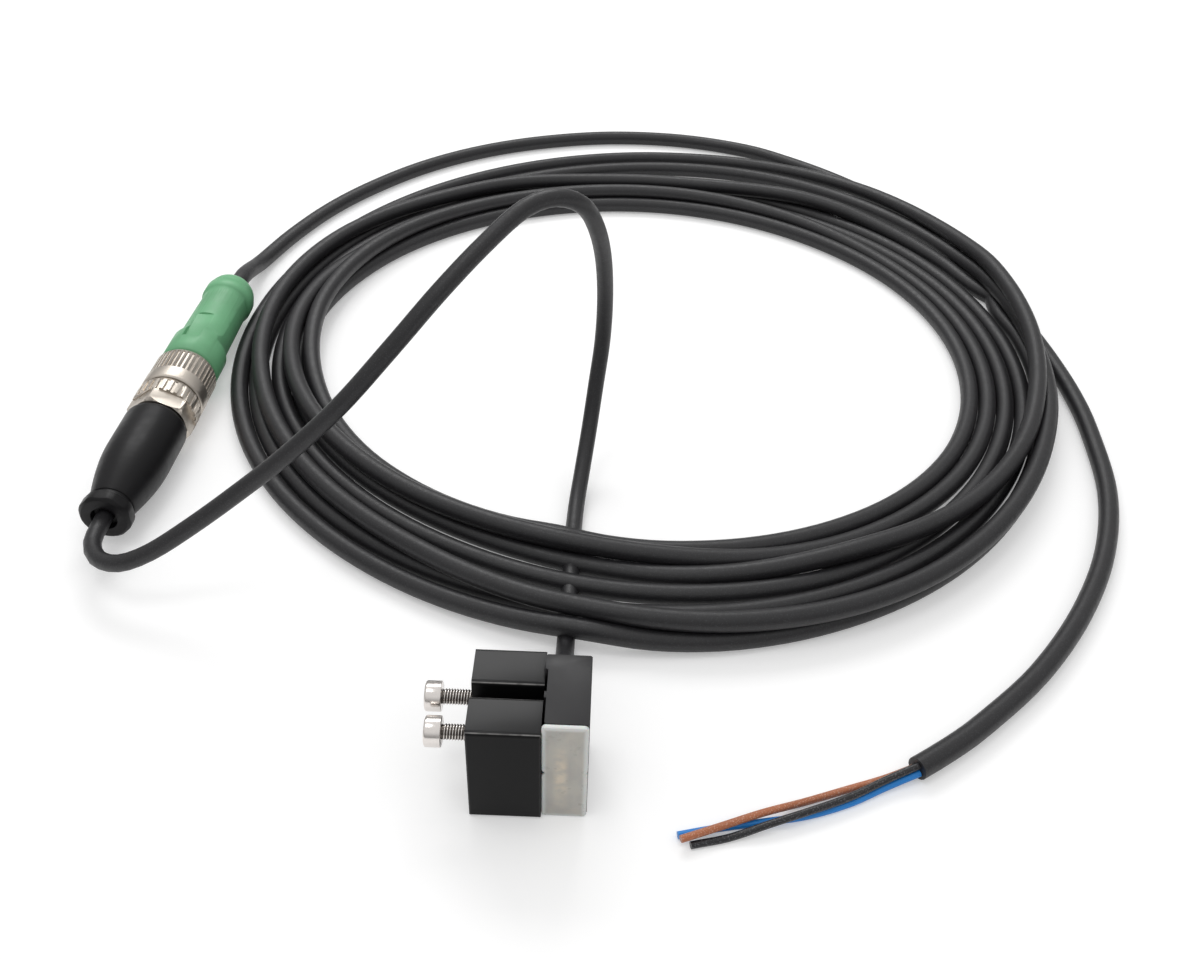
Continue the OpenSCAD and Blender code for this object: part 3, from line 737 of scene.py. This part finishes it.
def thread_tree(finish):
    """Winds a ridge round the blank, and sets one finished screw in each place."""
    tree, sockets, given, result = new_tree(
        "screw_thread", "Core radius", "Outer radius", "Pitch", "Start", "Length")
    screw = add(tree, "GeometryNodeJoinGeometry", Geometry=given.outputs["Geometry"])
    tree.links.new(wound_ridge(tree, given).outputs["Geometry"], screw.inputs["Geometry"])
    both = add(tree, "GeometryNodeJoinGeometry")
    for place in SCREW_PLACES:
        one = add(tree, "GeometryNodeTransform", Geometry=screw.outputs["Geometry"],
                  Translation=tuple(v * MM for v in place))
        tree.links.new(one.outputs["Geometry"], both.inputs["Geometry"])
    real = add(tree, "GeometryNodeRealizeInstances", Geometry=both.outputs["Geometry"])
    coloured = add(tree, "GeometryNodeSetMaterial", Geometry=real.outputs["Geometry"],
                   Material=finish)
    tree.links.new(coloured.outputs["Geometry"], result.inputs["Geometry"])
    return tree, sockets


def cut_the_screws():
    """Turns the screws' blank, threads it and puts both screws in their places."""
    obj = bpy.data.objects.new("clamp_screws_turned", screw_blank())
    bpy.context.scene.collection.objects.link(obj)
    tree, sockets = thread_tree(FINISHES["screw_steel"])
    threading = obj.modifiers.new("thread", "NODES")
    threading.node_group = tree
    sizes = {"Core radius": CORE_D / 2, "Outer radius": SCREW_D / 2 - 0.01,
             "Pitch": THREAD_PITCH, "Start": 0.35, "Length": SCREW_LEN - 0.8}
    for size, value in sizes.items():
        threading[sockets[size].identifier] = value * MM
    obj.update_tag()
    freeze(obj)
    adopt(obj, "clamp_screws")


def finish_hard_pieces():
    """The screws are made anew, and the other pieces that show get rounded edges."""
    cut_the_screws()
    soften_edges("clamp_block", 0.3, segments=3)
    soften_edges("sensor_housing", 0.15)
    soften_edges("front_window", 0.2)
    soften_edges("plug_body", 0.25)
    soften_edges("plug_ring", 0.08, segments=1)
    soften_edges("socket_nut", 0.05, segments=1)
    soften_edges("socket_grip", 0.15, flat_up_to=55)


finish_hard_pieces()


def lay_the_cords():
    """The sensor's cable, the extension cable through its coil, and the conductors."""
    sensor_cord = cord_curve("sensor_cord", smooth_route(SENSOR_ROUTE, spacing=2.5), CABLE_D,
                             "cable_jacket", "sensor_cable")

    extension_route = np.vstack([LEAD_ROUTE[:-len(LEAD_END)], lay_the_coil()[:-2],
                                 TAIL_ROUTE[TAIL_FROM:]])
    extension = cord_curve("extension_cord", smooth_route(extension_route, spacing=3.6),
                           EXT_D, "cable_jacket", "lead_cable", "coil_cable", "tail_cable")

    for name, route, finish_name in (
            ("black_conductor", BLACK_ROUTE, "wire_black"),
            ("blue_conductor", BLUE_ROUTE, "wire_blue"),
            ("brown_conductor", BROWN_ROUTE, "wire_brown")):
        wire = cord_curve(name, smooth_route(route, spacing=0.8), WIRE_D, finish_name,
                          finish_name)


lay_the_cords()


# Studio

def studio_paper():
    """Matt white paper. A little of its own white, seen but not cast, thins the shadows."""
    material, tree, shader = start_finish("studio_paper", (0.8, 0.8, 0.8), 1,
                                          Specular_IOR_Level=0, Emission_Color=(1, 1, 1))
    rays = add(tree, "ShaderNodeLightPath").outputs
    seen = combine(tree, "MAXIMUM", rays["Is Camera Ray"],
                   combine(tree, "MAXIMUM", rays["Is Glossy Ray"],
                           rays["Is Transmission Ray"]))
    own_white = combine(tree, "MULTIPLY", seen, 0.28)
    tree.links.new(own_white, shader.inputs["Emission Strength"])
    return material


def studio_sky():
    """Bright overhead and dimmer towards the horizon."""
    world = bpy.data.worlds.new("studio")
    bpy.context.scene.world = world
    world.use_nodes = True
    tree = world.node_tree
    place = add(tree, "ShaderNodeTexCoord").outputs["Generated"]
    up = add(tree, "ShaderNodeSeparateXYZ", Vector=place).outputs["Z"]
    background = tree.nodes["Background"]
    feed(tree, background.inputs["Color"], (1, 1, 1))
    feed(tree, background.inputs["Strength"],
         spread(tree, up, 0.05, 0.75, 0.3, 0.85, "SMOOTHSTEP"))


def softbox(name, place, aim, size, radiance):
    """A rectangular lamp whose face is as bright as radiance says."""
    data = bpy.data.lights.new(name, "AREA")
    data.shape = "RECTANGLE"
    data.size, data.size_y = size
    data.energy = radiance * math.pi * size[0] * size[1]
    lamp = bpy.data.objects.new(name, data)
    bpy.context.scene.collection.objects.link(lamp)
    lamp.location = place
    lamp.rotation_euler = (Vector(aim) - Vector(place)).to_track_quat("-Z", "Y").to_euler()


def build_studio():
    """The floor, the sky and two softboxes, in metres."""
    bpy.ops.mesh.primitive_plane_add(size=8, location=(0, 1, 0))
    floor = bpy.context.object
    floor.name = "studio_floor"
    floor.data.materials.append(studio_paper())
    studio_sky()
    softbox("rear_softbox", place=(-0.12, 0.85, 0.85), aim=(0, 0.05, 0), size=(0.66, 0.36),
            radiance=5)
    softbox("overhead_softbox", place=(-0.2, 0.02, 1.0), aim=(0, 0.05, 0),
            size=(0.3, 0.22), radiance=4)


build_studio()
bpy.context.scene.view_settings.view_transform = "Standard"
